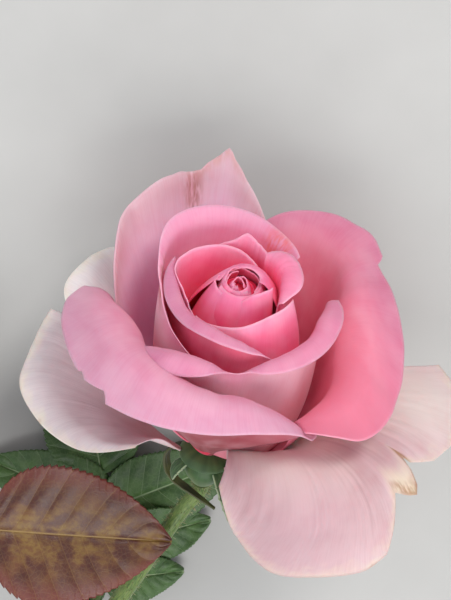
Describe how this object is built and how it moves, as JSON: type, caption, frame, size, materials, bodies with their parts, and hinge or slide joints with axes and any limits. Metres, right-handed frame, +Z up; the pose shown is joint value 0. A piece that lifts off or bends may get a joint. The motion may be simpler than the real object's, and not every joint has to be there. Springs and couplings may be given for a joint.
{
  "type": "cut rose stem",
  "caption": "Cut rose lying on its side: an open pink bloom with turned-back outer petals, a thorny stem, a bronze leaf and a green leaf.",
  "frame": {"origin": "bottom centre of the box round the whole cut stem, on the surface it lies on", "axes": "+Z up; +Y along the length of the stem from the bloom towards the cut end; +X across it"},
  "size_m": [0.152, 0.1827, 0.0813],
  "materials": {
    "petal_heart": "deep warm pink petal, velvety, with a lit rim",
    "petal_cup": "mid pink petal with a lilac-pink rim and fine fan veins",
    "petal_broad": "lilac-pink petal, deeper pink low down, with fine veins and a few brown marks",
    "petal_guard": "faded pinkish white petal, creased, with veins and brown edges",
    "calyx": "dull green with pale downy margins",
    "stem": "green rose stem with fine hairs, red-tipped thorns and a pale cut face",
    "leaf_bronze": "glossy young leaf, bronze with red margins and yellowish veins",
    "leaf_green": "dark green leaf with paler veins"
  },
  "bodies": {
    "root": {"petal_heart_core": "petal_heart", "petal_heart_wrap": "petal_heart", "petal_inner_front": "petal_heart", "petal_inner_left": "petal_heart", "petal_inner_back": "petal_heart", "petal_inner_right": "petal_heart", "petal_cup_left": "petal_cup", "petal_cup_back": "petal_cup", "petal_cup_front": "petal_cup", "petal_right_broad": "petal_broad", "petal_left_broad": "petal_broad", "petal_back_pointed": "petal_broad", "petal_guard_front": "petal_guard", "petal_guard_left": "petal_guard", "petal_guard_high_left": "petal_guard", "petal_guard_under_left": "petal_guard", "petal_guard_under_right": "petal_guard", "hip": "calyx", "sepal_1": "calyx", "sepal_2": "calyx", "sepal_3": "calyx", "sepal_4": "calyx", "sepal_5": "calyx", "stem": "stem", "leaf_bronze": "leaf_bronze", "leaf_green": "leaf_green"}
  },
  "joints": []
}
